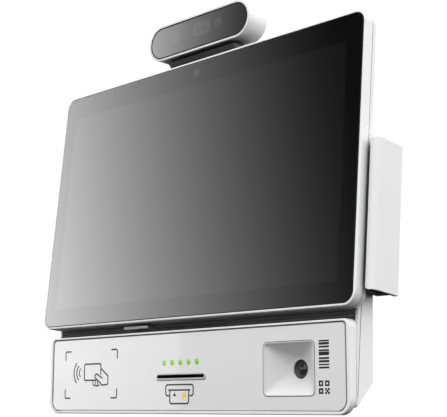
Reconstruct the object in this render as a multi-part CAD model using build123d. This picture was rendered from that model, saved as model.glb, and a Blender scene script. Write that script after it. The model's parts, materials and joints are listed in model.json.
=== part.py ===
"""Self checkout kiosk head: leaning touch screen, payment module, card swipe reader and camera bar.

Part frame: +Z up, X to the right seen from the front, +Y towards the wall. The origin is the centre of
the 100 x 100 mounting pattern, on the vertical mounting face.
Screen parts are drawn in a frame that leans back with the screen: x right, y into the unit, z up along
the glass, with its origin at the middle of the glass's bottom edge. Module and camera parts are drawn
upright from that same origin.
"""
from build123d import *
import os

os.makedirs("parts", exist_ok=True)

# ---- driving dimensions, mm ----------------------------------------------------------------------
TILT = 5.75                 # lean of the screen, degrees
MOUNT_Y = 74.0              # from the glass's bottom edge back to the mounting face
MOUNT_Z = 110.0             # from the glass's bottom edge up to the mounting centre
VESA = 100.0                # hole spacing of the mounting pattern
VESA_HOLE_R = 2.1

GLASS_W, GLASS_H, GLASS_R, GLASS_T = 375.0, 232.9, 9.0, 2.8
LIP = 2.0                   # bezel lip round the glass
BEZEL_FRONT, BEZEL_BACK = 0.3, 9.3
LCD_W, LCD_Z0, LCD_Z1 = 350.0, 11.5, 215.5
WEBCAM_Z = 222.5

HOUSE_X = 181.0             # half width of the housing and of the module
HOUSE_Z0, HOUSE_Z1 = -75.0, 226.0
HOUSE_R, HOUSE_FOOT_R = 8.0, 3.0     # corner radius at the top and at the bottom
FRAME_Y0, TRAY_Y1, FLANGE_Y1, FRAME_Y1 = 9.75, 11.6, 14.0, 19.3
WALL = 2.4
COVER_Y0 = 19.6
COVER_SEAT = 22.0           # where the rear cover's screw heads bear
HUMP_Y = 50.0               # depth of the hump's flat back
HUMP_BASE = (148.0, -73.8, 213.0)    # half width, bottom and top at the cover's front edge
HUMP_TOP = (120.0, -60.0, 178.0)     # half width, bottom and top at the flat back

BUTTON_Y, BUTTON_Z = 24.6, 10.0      # power button on the left side
READER_SCREW_Y, READER_SCREW_Z = 22.5, (30.0, 110.0)

MOD_Z0, MOD_Z1 = -81.6, -10.8        # module, bottom and top
MOD_Y0 = 4.4                         # module front
PANEL_X, PANEL_Z0, PANEL_Z1, PANEL_Y = 176.3, -78.6, -13.7, 4.5
RING_X, RING_Z0, RING_Z1 = 177.85, -79.3, -12.4
SLOT = (-28.1, 29.2, -51.4, -48.6)   # card slot mouth: x0, x1, z0, z1
SLOT_RIM = (-29.6, 30.7, -53.3, -47.9)
LED_X = (-20.0, -10.0, 0.0, 10.0, 20.0)
LED_Z = -38.35
SCAN = (96.1, 146.2, -66.4, -26.7)   # scanner recess mouth
SCAN_LENS_R = 7.0

MSR_Z0, MSR_Z1 = 10.5, 128.3
MSR_X0, MSR_X1, MSR_Y0, MSR_Y1 = 181.3, 200.0, 7.6, 40.2
SWIPE_X0, SWIPE_X1, SWIPE_Y1 = 189.4, 192.0, 30.0
MSR_CORNER_R = 4.0                   # corners of the cover next to the swipe slot

CAM_Y, CAM_Z = 22.7, 260.1           # camera bar front and centre height
CAM_GLASS_W, CAM_GLASS_H, CAM_RIM = 124.7, 29.9, 2.1
CAM_DEPTH = 24.0
PIN_Y, PIN_Z, PIN_R = 36.5, 238.5, 1.5

SCREW_SPOTS = [(x, z) for z in (-40, 60, 150) for x in (-174.5, 174.5)]
TAB_Z = (-22.3, -56.4)               # heights of the frame's tabs that carry the module
STANDOFFS = [(x, z) for z in (40, 150) for x in (-80, 80)]
POWER_STANDOFFS = [(x, z) for z in (30, 90) for x in (-132, -98)]
WEDGE_SCREWS = [(x, z) for z in (82, 150) for x in (-36, 36)]
SOCKETS = [(-74, -58, 22, 36), (-52, -36, 22, 36), (-30, -16.5, 22, 37.5), (-10, 3.5, 22, 37.5),
           (10, 25, 22, 28), (32, 47, 22, 28), (54, 72, 22, 34)]    # x0, x1, y0, y1
DOOR_KNUCKLES, COVER_KNUCKLES = (-62, 0, 62), (-35, 35)
DOOR_PIN_Y, DOOR_PIN_Z, KNUCKLE_R = 48.6, -21.5, 2.6
LENSES = [(-28.0, 2.0, 4.7), (1.1, 2.4, 4.0), (10.1, 2.4, 4.0), (26.8, 2.0, 4.4)]   # x, height, radius

SCREEN = Location((0, -MOUNT_Y, -MOUNT_Z), (-TILT, 0, 0))
UPRIGHT = Location((0, -MOUNT_Y, -MOUNT_Z))
LEAN = Location((0, 0, 0), (-TILT, 0, 0))


# ---- helpers ---------------------------------------------------------------------------------------
def save(name, shape, where):
    placed = where * shape
    placed.label = name
    export_step(placed, f"parts/{name}.step")


def box(x0, x1, y0, y1, z0, z1):
    centre = Pos((x0 + x1) / 2, (y0 + y1) / 2, (z0 + z1) / 2)
    return centre * Box(x1 - x0, y1 - y0, z1 - z0)


def cyl_x(y, z, r, x0, x1):
    return Pos((x0 + x1) / 2, y, z) * Rot(0, 90, 0) * Cylinder(r, x1 - x0)


def cyl_y(x, z, r, y0, y1):
    return Pos(x, (y0 + y1) / 2, z) * Rot(90, 0, 0) * Cylinder(r, y1 - y0)


def outline(x0, x1, z0, z1, r_top, r_bottom=None):
    """A rectangle seen from the front, with its own corner radius at the top and at the bottom."""
    face = Pos((x0 + x1) / 2, (z0 + z1) / 2) * Rectangle(x1 - x0, z1 - z0)
    corners = face.vertices().group_by(Axis.Y)
    top, bottom = corners[-1], corners[0]
    radius = r_top if r_bottom is None else r_bottom
    if abs(radius - r_top) < 1e-6:
        return fillet(face.vertices(), r_top)
    face = fillet(top, r_top)
    return fillet(face.vertices().group_by(Axis.Y)[0], radius)


def stadium(width, height, cz):
    """A slot shape seen from the front."""
    return Pos(0, cz) * SlotOverall(width, height)


def front_prism(face, y0, y1):
    """A shape drawn from the front (x, z), given depth from y0 to y1."""
    return extrude(Plane((0, y1, 0), x_dir=(1, 0, 0), z_dir=(0, -1, 0)) * face, amount=y1 - y0)


def side_prism(points, x0, x1):
    """A polygon of (y, z) points, extruded from x0 to x1."""
    face = make_face(Polyline(*points, close=True))
    return extrude(Plane((x0, 0, 0), x_dir=(0, 1, 0), z_dir=(1, 0, 0)) * face, amount=x1 - x0)


def plan_prism(points, z0, z1):
    """A polygon of (x, y) points, extruded upwards from z0 to z1."""
    return extrude(Plane((0, 0, z0)) * make_face(Polyline(*points, close=True)), amount=z1 - z0)


def rounded_prism(x0, x1, z0, z1, y0, y1, r_top, r_bottom=None):
    return front_prism(outline(x0, x1, z0, z1, r_top, r_bottom), y0, y1)


def soften(solid, axis, index, radius):
    """Rounds the rim of the face that lies furthest along an axis."""
    return fillet(solid.faces().sort_by(axis)[index].edges(), radius)


def screw(x, z, y_tip, y_seat, r_shank, r_head, head):
    """A pan head screw whose head sits at y_seat and points towards -Y."""
    shank = cyl_y(x, z, r_shank, y_tip, y_seat + 0.2)
    cap = soften(cyl_y(x, z, r_head, y_seat, y_seat + head), Axis.Y, -1, head * 0.3)
    recess = Pos(x, y_seat + head, z) * Box(r_head * 1.2, head, 0.7)
    recess += Pos(x, y_seat + head, z) * Box(0.7, head, r_head * 1.2)
    return shank + cap - recess


# ---- screen unit -----------------------------------------------------------------------------------
def touch_glass():
    return rounded_prism(-GLASS_W / 2, GLASS_W / 2, 0, GLASS_H, 0, GLASS_T, GLASS_R)


def glass_gasket():
    ring = rounded_prism(-186.5, 186.5, 1.0, GLASS_H - 1.0, 2.85, 3.25, 8.2)
    ring -= box(-176.2, 176.2, 2, 4, 10.2, 216.8)
    return ring - cyl_y(0, WEBCAM_Z, 4.6, 2, 4)


def display_bezel():
    half = GLASS_W / 2 + LIP
    body = rounded_prism(-half, half, -LIP, GLASS_H + LIP, BEZEL_FRONT, BEZEL_BACK, GLASS_R + LIP)
    body = soften(body, Axis.Y, 0, 0.9)
    pocket = rounded_prism(-GLASS_W / 2 - 0.2, GLASS_W / 2 + 0.2, -0.2, GLASS_H + 0.2, 0, 3.3, 9.2)
    picture = box(-LCD_W / 2 - 0.5, LCD_W / 2 + 0.5, 3, 6, LCD_Z0 - 0.5, LCD_Z1 + 0.5)
    rear = rounded_prism(-half + 2.6, half - 2.6, 0.6, GLASS_H - 0.6, 5.3, 9.6, 8.4)
    return body - pocket - picture - rear - cyl_y(0, WEBCAM_Z, 4.1, 3, 6)


def lcd_backlight():
    tray = box(-LCD_W / 2, LCD_W / 2, 4.75, 8.4, LCD_Z0, LCD_Z1)
    pressing = box(-150, 150, 8.0, 8.6, 40, 190)
    return tray - pressing


def lcd_bracket(side):
    web = box(175.2, 176.2, 5.6, 9.4, 45, 180)
    foot = box(176.0, 184.5, 8.4, 9.4, 45, 180)
    holes = [cyl_y(180.5, z, 1.6, 8, 10) for z in (55, 112, 170)]
    bracket = web + foot - holes
    return bracket if side > 0 else mirror(bracket, Plane.YZ)


def webcam_board():
    board = box(-22, 22, 6.1, 7.3, 218.6, 229)
    holder = box(-5, 5, 7.3, 9.0, 218.6, 226.5)
    return board + holder


def mid_frame():
    upper = rounded_prism(-189.1, 189.1, -1.6, 234.6, FRAME_Y0, FLANGE_Y1, 10.6)
    side_view = [(TRAY_Y1, HOUSE_Z1), (FRAME_Y1, HOUSE_Z1), (FRAME_Y1, HOUSE_Z0 + 0.9),
                 (18.3, HOUSE_Z0), (15.2, -12.0), (16.0, -9.5), (16.0, -1.6), (TRAY_Y1, -1.6)]
    lower = side_prism(side_view, -HOUSE_X, HOUSE_X)
    lower &= rounded_prism(-HOUSE_X, HOUSE_X, HOUSE_Z0, HOUSE_Z1, 5, 25, HOUSE_R, HOUSE_FOOT_R)
    body = upper + lower
    inner_x = HOUSE_X - WALL
    body -= rounded_prism(-inner_x, inner_x, 1.0, HOUSE_Z1 - WALL, TRAY_Y1, 25, 5.6)
    body -= rounded_prism(-inner_x, inner_x, HOUSE_Z0 + WALL, -2.0, 5, 25, 1.0, 0.8)
    body -= box(-12, 12, 9, 12, 160, 168)
    for x, z in SCREW_SPOTS:
        front = TRAY_Y1 - 0.2 if z > 0 else 16.6
        body += cyl_y(x, z, 4.5, front, FRAME_Y1)
        body -= cyl_y(x, z, 1.5, 13.0, 20)
    for x, z in STANDOFFS + POWER_STANDOFFS:
        body += cyl_y(x, z, 3.0, TRAY_Y1 - 0.2, 19.95)
        body -= cyl_y(x, z, 1.25, 13.5, 20)
    for side in (-1, 1):
        for z in TAB_Z:
            body += box(min(side * 163, side * 179), max(side * 163, side * 179), 17.5, 19.0, z - 4, z + 4)
            body -= cyl_y(side * 168, z, 1.9, 15, 20)
        body -= cyl_y(side * 15, 230.5, 1.25, 11.8, 15)
    return body


def neck_cover():
    wall = [(18.6, -2.3), (16.4, -2.3), (16.4, -4.9), (17.6, -4.9), (17.6, -6.1), (16.0, -6.1),
            (16.0, -7.5), (17.2, -7.9), (17.2, -14.5), (18.6, -14.5)]
    body = side_prism(wall, -178.2, 178.2)
    body -= box(-71, -45.2, 15, 20, -6.4, -3.5)
    for i in range(33):
        x = -33.2 + 2.35 * i
        body -= box(x, x + 1.2, 15, 20, -7.2, -5.0)
    return body


def speaker_enclosure():
    shell = box(-35, 47, 18.75, 36, -24, -2.9)
    return shell - box(-33.4, 45.4, 18, 34.4, -22.4, -4.5)


def speaker_driver(x):
    cone = cyl_y(x, -13.4, 8.2, 19.6, 24.0) - cyl_y(x, -13.4, 6.6, 19.0, 20.6)
    magnet = cyl_y(x, -13.4, 5.5, 23.5, 34.2)
    return cone + magnet


def release_latch():
    bar = Pos(-61.95, 0) * Pos(0, -4.95) * SlotOverall(32.7, 2.3)
    tab = front_prism(bar, 8.5, 11.6)
    stem = box(-70, -54, 11.4, 20.2, -5.7, -4.2)
    hook = box(-76, -48, 20.0, 21.6, -14, -3.2)
    return tab + stem + hook


def cover_solid(inset):
    """The rear cover's outer body, or with an inset the hollow inside it."""
    x = HOUSE_X - inset
    side_view = [(COVER_Y0 - inset, HOUSE_Z0 + 1.0 + inset), (37.2 - inset, -54.2 + inset * 0.4),
                 (20.2 - inset, 222.0), (COVER_Y0 - inset, HOUSE_Z1)]
    body = side_prism(side_view, -x, x)
    foot, head = HOUSE_Z0 + inset, HOUSE_Z1 - inset
    body &= rounded_prism(-x, x, foot, head, 5, 60, HOUSE_R - inset, HOUSE_FOOT_R - inset)
    base_x, base_z0, base_z1 = HUMP_BASE
    top_x, top_z0, top_z1 = HUMP_TOP
    base = outline(-base_x + inset, base_x - inset, base_z0 + inset, base_z1 - inset, 14)
    top = outline(-top_x + inset, top_x - inset, top_z0 + inset, top_z1 - inset, 10)
    base = Plane((0, COVER_Y0 - inset, 0), x_dir=(1, 0, 0), z_dir=(0, -1, 0)) * base
    top = Plane((0, HUMP_Y - inset, 0), x_dir=(1, 0, 0), z_dir=(0, -1, 0)) * top
    return body + loft([base, top])


def rear_cover():
    body = cover_solid(0) - cover_solid(WALL)
    for x, z in SCREW_SPOTS:
        post = cyl_y(x, z, 4.5, COVER_Y0, 40) & cover_solid(0)
        body += post
        body -= cyl_y(x, z, 3.2, COVER_SEAT, 60)
        body -= cyl_y(x, z, 1.7, 19, 25)
    for i in range(23):
        x = -90 + 8.0 * i
        body -= box(x, x + 2.6, 32, 60, 180, 200)
    body -= box(-84, 84, 46, 52, -24.6, 40.0)
    body -= box(62, 98, 30, 47, -80, -60)
    for x in COVER_KNUCKLES:
        body += box(x - 8, x + 8, 47.6, HUMP_Y, -27.5, -22.5)
        body += cyl_x(DOOR_PIN_Y, DOOR_PIN_Z, KNUCKLE_R, x - 8, x + 8)
        body -= cyl_x(DOOR_PIN_Y, DOOR_PIN_Z, 1.52, x - 9, x + 9)
    for x, z in WEDGE_SCREWS:
        body += cyl_y(x, z, 4.0, 42.0, 48.0)
        body -= cyl_y(x, z, 1.6, 41, 51)
    body -= cyl_x(BUTTON_Y, BUTTON_Z, 3.75, -183, -176)
    body += box(-170.3, -168.3, 21, 32.4, BUTTON_Z - 11, BUTTON_Z + 11)
    for z in READER_SCREW_Z:
        body -= cyl_x(READER_SCREW_Y, z, 1.5, 176, 182)
    return body


def mounting_wedge():
    """Upright block between the leaning back of the hump and the vertical mounting face."""
    block = rounded_prism(-60, 60, MOUNT_Z - 60, MOUNT_Z + 60, 50, MOUNT_Y, 8)
    block = soften(block, Axis.Y, -1, 1.0)
    block -= LEAN * box(-100, 100, 0, HUMP_Y + 0.05, -50, 300)
    for x in (-VESA / 2, VESA / 2):
        for z in (MOUNT_Z - VESA / 2, MOUNT_Z + VESA / 2):
            block -= cyl_y(x, z, VESA_HOLE_R, MOUNT_Y - 6.5, MOUNT_Y + 1)
    for x, z in WEDGE_SCREWS:
        block -= LEAN * cyl_y(x, z, 1.9, 40, 80)
        block -= LEAN * cyl_y(x, z, 3.6, 52.5, 80)
    block -= rounded_prism(-17, 17, MOUNT_Z - 17, MOUNT_Z + 17, 40, 90, 5)
    return block


def main_board():
    board = box(-88, 88, 20.0, 21.6, 32, 158)
    for x, z in STANDOFFS:
        board -= cyl_y(x, z, 1.6, 19, 22)
    return board


def heat_sink():
    sink = box(-66, 26, 24.75, 28.5, 84, 150)
    for i in range(12):
        x = -65.4 + 8.2 * i
        sink += box(x, x + 1.8, 28.3, 41.5, 84, 150)
    return sink


def memory_module():
    return box(36, 62, 24.4, 25.6, 60, 127.6) + box(58, 66, 21.65, 26.4, 58, 129.6)


def solid_state_drive():
    return box(-56, 20, 24.0, 25.2, 54, 76) + box(-62, -54, 21.65, 26.2, 54, 76)


def connector_panel():
    plate = box(-84, 84, 14.2, 46, 28.6, 29.8) + box(-84, 84, 11.65, 14.4, 28.6, 29.8)
    plate += box(-84, 84, 11.65, 12.85, 12, 29.8)
    for x0, x1, y0, y1 in SOCKETS:
        plate -= box(x0 + 1, x1 - 1, y0 + 1, y1 - 1, 28, 30)
    return plate


def socket(x0, x1, y0, y1):
    can = box(x0, x1, y0, y1, 29.85, 45)
    return can - box(x0 + 1, x1 - 1, y0 + 1, y1 - 1, 29, 43)


def power_board():
    board = box(-138, -92, 20.0, 21.6, 22, 98)
    for x, z in POWER_STANDOFFS:
        board -= cyl_y(x, z, 1.6, 19, 22)
    board += box(-126, -104, 21.5, 31, 36, 60)
    board += cyl_y(-108, 76, 5, 21.5, 31)
    board += cyl_y(-121, 76, 5, 21.5, 31)
    return board


def display_ribbon():
    ribbon = box(-10, 10, 8.45, 22.4, 164.0, 164.4)
    ribbon += box(-10, 10, 22.0, 22.4, 150.0, 164.4)
    return ribbon + box(-11, 11, 21.65, 24.2, 151.5, 156.5)


def connector_door():
    door = rounded_prism(-83.2, 83.2, -18.7, 39.2, 47.8, HUMP_Y, 3, 1)
    for x in DOOR_KNUCKLES:
        door += box(x - 9, x + 9, 47.8, HUMP_Y, -21.5, -18.0)
        door += cyl_x(DOOR_PIN_Y, DOOR_PIN_Z, KNUCKLE_R, x - 9, x + 9)
    for x in DOOR_KNUCKLES:
        door -= cyl_x(DOOR_PIN_Y, DOOR_PIN_Z, 1.56, x - 10, x + 10)
    door -= box(-10, 10, 49.2, 51, 32, 36)
    return door


def door_pin():
    return cyl_x(DOOR_PIN_Y, DOOR_PIN_Z, 1.5, -72, 72)


def power_button():
    cap = soften(cyl_x(BUTTON_Y, BUTTON_Z, 3.6, -182.0, -177.4), Axis.X, 0, 0.6)
    flange = cyl_x(BUTTON_Y, BUTTON_Z, 4.4, -178.45, -177.4)
    return cap + flange


def power_switch_board():
    board = box(-172.0, -170.4, 20.5, 30.2, BUTTON_Z - 10, BUTTON_Z + 10)
    switch = box(-175.0, -171.9, BUTTON_Y - 3, BUTTON_Y + 3, BUTTON_Z - 3, BUTTON_Z + 3)
    return board + switch + cyl_x(BUTTON_Y, BUTTON_Z, 1.6, -176.2, -174.9)


# ---- payment module --------------------------------------------------------------------------------
def module_bezel():
    body = rounded_prism(-HOUSE_X, HOUSE_X, MOD_Z0, MOD_Z1, MOD_Y0, 16, 6.5, 12.0)
    body = soften(body, Axis.Y, 0, 1.1)
    body -= rounded_prism(-RING_X, RING_X, RING_Z0, RING_Z1, 4, 17, 3.6, 9.5)
    slope = (13.7 - 10.0) / (MOD_Z1 - MOD_Z0)
    behind = [(13.7 + 5 * slope, MOD_Z1 + 5), (30, MOD_Z1 + 5), (30, MOD_Z0 - 5),
              (10.0 - 5 * slope, MOD_Z0 - 5)]
    return body - side_prism(behind, -200, 200)


def grow(rect, gap):
    x0, x1, z0, z1 = rect
    return x0 - gap, x1 + gap, z0 - gap, z1 + gap


def window(rect, y0, y1, radius):
    x0, x1, z0, z1 = rect
    return rounded_prism(x0, x1, z0, z1, y0, y1, radius)


def module_panel():
    plate = rounded_prism(-PANEL_X, PANEL_X, PANEL_Z0, PANEL_Z1, PANEL_Y, 6.5, 3.0, 8.2)
    plate = soften(plate, Axis.Y, 0, 0.5)
    plate -= window(SCAN, 4, 7, 2.4)
    plate -= window(grow(SLOT_RIM, 0.15), 4, 7, 2.05)
    for x in LED_X:
        plate -= cyl_y(x, LED_Z, 2.35, 4, 7)
    return plate


def module_chassis():
    plate = rounded_prism(-177.5, 177.5, -78.95, -12.75, 6.6, 8.4, 3.3, 9.1)
    plate -= window(grow(SCAN, 2.1), 6, 9, 3.0)
    plate -= window(grow(SLOT_RIM, 0.3), 6, 9, 2.2)
    for x in LED_X:
        plate -= cyl_y(x, LED_Z, 2.5, 6, 9)
    for side in (-1, 1):
        for z, y_end in ((-24, 14.7), (-58, 11.3)):
            plate += cyl_y(side * 168, z, 3.4, 8.3, y_end)
            plate -= cyl_y(side * 168, z, 1.35, 9.0, 16)
    return plate


def slot_bezel():
    rim = window(SLOT_RIM, 3.9, 12.0, 1.9)
    rim = soften(rim, Axis.Y, 0, 0.5)
    return rim - window(SLOT, 3, 13, 1.2)


def card_reader_body():
    body = box(-34, 35, 12.1, 41, -56.5, -42)
    body -= box(-26.95, 28.05, 12, 39, -50.85, -49.15)
    body -= box(-12, 13, 17.5, 34.5, -49.3, -43.5)
    return body


def card_contact_carriage():
    """Sprung block with the chip contacts: a card pushes its tab and carries it inwards."""
    block = box(-9.5, 10.5, 18, 27, -48.9, -44.5)
    tab = box(-3, 4, 25.4, 27, -50.6, -48.8)
    contacts = [box(-8 + 2.4 * i, -7.2 + 2.4 * i, 19, 24, -49.05, -48.7) for i in range(8)]
    return block + tab + contacts


def light_pipe(x):
    lens = soften(cyl_y(x, LED_Z, 2.25, 4.2, 8.9), Axis.Y, 0, 0.5)
    return lens


def light_board():
    board = box(-26, 26, 9.0, 10.2, -42.0, -34.5)
    for x in LED_X:
        board += box(x - 1.6, x + 1.6, 10.1, 10.9, LED_Z - 1.2, LED_Z + 1.2)
    return board


def funnel_loft(grow_mouth, grow_end, y0, y1):
    mouth = outline(*grow(SCAN, grow_mouth), 2.6 + grow_mouth)
    cx = (SCAN[0] + SCAN[1]) / 2
    cz = (SCAN[2] + SCAN[3]) / 2
    end = outline(cx - 8 - grow_end, cx + 8 + grow_end, cz - 7.6 - grow_end, cz + 7.6 + grow_end, 3)
    mouth = Plane((0, y0, 0), x_dir=(1, 0, 0), z_dir=(0, -1, 0)) * mouth
    end = Plane((0, y1, 0), x_dir=(1, 0, 0), z_dir=(0, -1, 0)) * end
    return loft([mouth, end])


def scanner_funnel():
    cx = (SCAN[0] + SCAN[1]) / 2
    cz = (SCAN[2] + SCAN[3]) / 2
    outer = funnel_loft(1.6, 1.5, 6.6, 21.6)
    inner = funnel_loft(0.3, 0.0, 6.5, 20.1)
    return outer - inner - cyl_y(cx, cz, SCAN_LENS_R, 19, 23)


def scanner_window():
    cx = (SCAN[0] + SCAN[1]) / 2
    cz = (SCAN[2] + SCAN[3]) / 2
    disc = cyl_y(cx, cz, SCAN_LENS_R - 0.1, 20.4, 21.7) + cyl_y(cx, cz, 8.6, 21.65, 22.9)
    return disc


def scanner_engine():
    cx = (SCAN[0] + SCAN[1]) / 2
    return box(cx - 11, cx + 11, 22.95, 28.5, -52, -41)


def antenna_board():
    return box(-160, -80, 8.6, 9.8, -70, -22)


def control_board():
    board = box(-76, -38, 10.0, 11.4, -70, -24)
    board += box(-66, -52, 11.3, 13.2, -56, -42)
    return board + box(-72, -42, 11.3, 15.5, -32, -27)


# ---- magnetic stripe reader ------------------------------------------------------------------------
def reader_plan(inset):
    """Outline from above: a nose beside the bezel and a body beside the housing."""
    nose = SWIPE_X1 + inset * 0.9
    outer = MSR_X1 - inset
    front = MSR_Y0 + inset
    back = MSR_Y1 - inset
    return [(nose, front), (outer, front), (outer, back), (MSR_X0, back), (MSR_X0, 14.5 + inset),
            (nose, 14.5 + inset)]


def reader_cover():
    body = plan_prism(reader_plan(0), MSR_Z0, MSR_Z1)
    upright = body.edges().filter_by(Axis.Z)
    outer_nose = upright.filter_by(lambda e: e.center().X > 199.9 and e.center().Y < 8)
    body = fillet(outer_nose, 5.0)
    body = fillet(body.edges().filter_by(Axis.Z).sort_by_distance((SWIPE_X1, MSR_Y0, 70))[0], 1.6)
    body = fillet(body.edges().filter_by(Axis.Z).sort_by_distance((MSR_X1, MSR_Y1, 70))[0], 1.5)
    hollow = plan_prism(reader_plan(1.8), MSR_Z0 - 1, MSR_Z1 - 1.8)
    hollow = fillet(hollow.edges().filter_by(Axis.Z).sort_by_distance((MSR_X1, MSR_Y0, 70))[0], 3.4)
    body -= hollow
    body &= rounded_prism(SWIPE_X1, 230, MSR_Z0, MSR_Z1, 0, 60, MSR_CORNER_R)
    body -= box(SWIPE_X1 - 1, SWIPE_X1 + 3, 17.0, 26.0, 62, 78)
    return body


def reader_base():
    body = plan_prism(reader_plan(2.0), MSR_Z0 + 0.8, MSR_Z1 - 2.0)
    body = fillet(body.edges().filter_by(Axis.Z).sort_by_distance((MSR_X1, MSR_Y0, 70))[0], 3.0)
    body -= box(SWIPE_X0, SWIPE_X1 + 1.85, 5, SWIPE_Y1, 0, 140)
    body -= box(193.7, 199, 15.5, 27.5, 58, 82)
    for z in READER_SCREW_Z:
        body -= cyl_x(READER_SCREW_Y, z, 1.6, 180, 190)
        body -= cyl_x(READER_SCREW_Y, z, 3.0, 184, 190)
    return body


def read_head():
    tip = box(191.2, 195.6, 18.0, 25.0, 64, 76)
    return fillet(tip.faces().sort_by(Axis.X)[0].edges().filter_by(Axis.Z), 0.7)


def head_spring():
    leaf = box(196.9, 197.4, 16.5, 26.5, 60, 80)
    return leaf - box(196, 198, 19.5, 23.5, 62.5, 77.5)


def reader_screw(z):
    shank = cyl_x(READER_SCREW_Y, z, 1.4, 179.0, 184.2)
    return shank + cyl_x(READER_SCREW_Y, z, 2.7, 184.1, 186.0)


# ---- camera bar ------------------------------------------------------------------------------------
def camera_housing():
    width, height = CAM_GLASS_W + 2 * CAM_RIM, CAM_GLASS_H + 2 * CAM_RIM
    body = front_prism(stadium(width, height, CAM_Z), CAM_Y, CAM_Y + CAM_DEPTH)
    body = soften(body, Axis.Y, 0, 0.5)
    body = soften(body, Axis.Y, -1, 1.5)
    body -= front_prism(stadium(CAM_GLASS_W + 0.3, CAM_GLASS_H + 0.3, CAM_Z), CAM_Y - 1, CAM_Y + 2.4)
    body -= front_prism(stadium(118, 23.4, CAM_Z), CAM_Y, CAM_Y + 22.2)
    body -= front_prism(stadium(122.4, 27.4, CAM_Z), CAM_Y + 22.1, CAM_Y + 30)
    floor = CAM_Z - height / 2
    for x in (-30, 30):
        ear = box(x - 3, x + 3, PIN_Y - 3.6, PIN_Y + 3.6, PIN_Z, floor + 1.0)
        ear += cyl_x(PIN_Y, PIN_Z, 3.6, x - 3, x + 3)
        body += ear
        body -= cyl_x(PIN_Y, PIN_Z, PIN_R + 0.06, x - 4, x + 4)
    return body


def camera_glass():
    return front_prism(stadium(CAM_GLASS_W, CAM_GLASS_H, CAM_Z), CAM_Y + 0.2, CAM_Y + 2.3)


def camera_lens(x, dz, radius):
    barrel = cyl_y(x, CAM_Z + dz, radius, CAM_Y + 2.6, CAM_Y + 10.3)
    return barrel - cyl_y(x, CAM_Z + dz, radius * 0.6, CAM_Y + 2, CAM_Y + 4.0)


def camera_board():
    board = front_prism(stadium(112, 19, CAM_Z), CAM_Y + 10.4, CAM_Y + 12.0)
    return board + box(-14, 14, CAM_Y + 11.9, CAM_Y + 15, CAM_Z - 7, CAM_Z + 7)


def camera_back_plate():
    plate = front_prism(stadium(122, 27, CAM_Z), CAM_Y + 22.25, CAM_Y + 23.8)
    for i in range(9):
        plate -= box(-33 + 8 * i, -30.6 + 8 * i, CAM_Y + 20, CAM_Y + 26, CAM_Z - 6, CAM_Z + 6)
    return plate


def camera_bracket():
    side_view = [(26.2, 240.0), (27.0, 240.9), (41.5, 241.2), (42.6, 240.2), (42.6, 234.5), (40.8, 232.0),
                 (40.0, 224.4), (37.2, 224.7), (37.95, 232.45), (33.2, 233.25), (31.9, 233.95)]
    body = side_prism(side_view, -42, 42)
    for x in (-30, 30):
        body -= box(x - 3.4, x + 3.4, PIN_Y - 4.1, PIN_Y + 4.1, 234.4, 250)
    body -= cyl_x(PIN_Y, PIN_Z, PIN_R + 0.02, -40.2, 40.2)
    for x in (-15, 15):
        body -= LEAN * cyl_y(x, 230.5, 1.4, 10, 30)
    return body


def camera_hinge_pin():
    return cyl_x(PIN_Y, PIN_Z, PIN_R, -40, 40)


# ---- every node ------------------------------------------------------------------------------------
save("touch_glass", touch_glass(), SCREEN)
save("glass_gasket", glass_gasket(), SCREEN)
save("display_bezel", display_bezel(), SCREEN)
save("lcd_panel", box(-LCD_W / 2, LCD_W / 2, 3.35, 4.7, LCD_Z0, LCD_Z1), SCREEN)
save("lcd_backlight", lcd_backlight(), SCREEN)
save("lcd_brackets", lcd_bracket(-1) + lcd_bracket(1), SCREEN)
save("webcam_lens", soften(cyl_y(0, WEBCAM_Z, 3.7, 3.3, 6.05), Axis.Y, 0, 0.4), SCREEN)
save("webcam_board", webcam_board(), SCREEN)
save("mid_frame", mid_frame(), SCREEN)
save("neck_cover", neck_cover(), SCREEN)
save("speaker_enclosure", speaker_enclosure(), SCREEN)
save("speaker_drivers", speaker_driver(-14) + speaker_driver(26), SCREEN)
save("release_latch", release_latch(), SCREEN)
save("rear_cover", rear_cover(), SCREEN)
cover_screws = [screw(x, z, 14.0 if z > 0 else 17.0, COVER_SEAT, 1.45, 2.8, 2.2) for x, z in SCREW_SPOTS]
save("rear_cover_screws", Part() + cover_screws, SCREEN)
save("mounting_wedge", mounting_wedge(), UPRIGHT)
wedge_screws = [screw(x, z, 42.5, 52.5, 1.55, 3.2, 2.0) for x, z in WEDGE_SCREWS]
save("mounting_wedge_screws", Part() + wedge_screws, SCREEN)
save("main_board", main_board(), SCREEN)
board_spots = STANDOFFS + POWER_STANDOFFS
board_screws = [screw(x, z, 14.5, 21.62, 1.2, 2.4, 1.5) for x, z in board_spots]
save("board_screws", Part() + board_screws, SCREEN)
save("processor", box(-38, -2, 21.65, 24.7, 99, 135), SCREEN)
save("heat_sink", heat_sink(), SCREEN)
save("memory_module", memory_module(), SCREEN)
save("solid_state_drive", solid_state_drive(), SCREEN)
save("connector_panel", connector_panel(), SCREEN)
save("connector_sockets", Part() + [socket(*spot) for spot in SOCKETS], SCREEN)
save("power_board", power_board(), SCREEN)
save("display_ribbon", display_ribbon(), SCREEN)
save("connector_door", connector_door(), SCREEN)
save("connector_door_pin", door_pin(), SCREEN)
save("power_button", power_button(), SCREEN)
save("power_switch_board", power_switch_board(), SCREEN)

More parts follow.
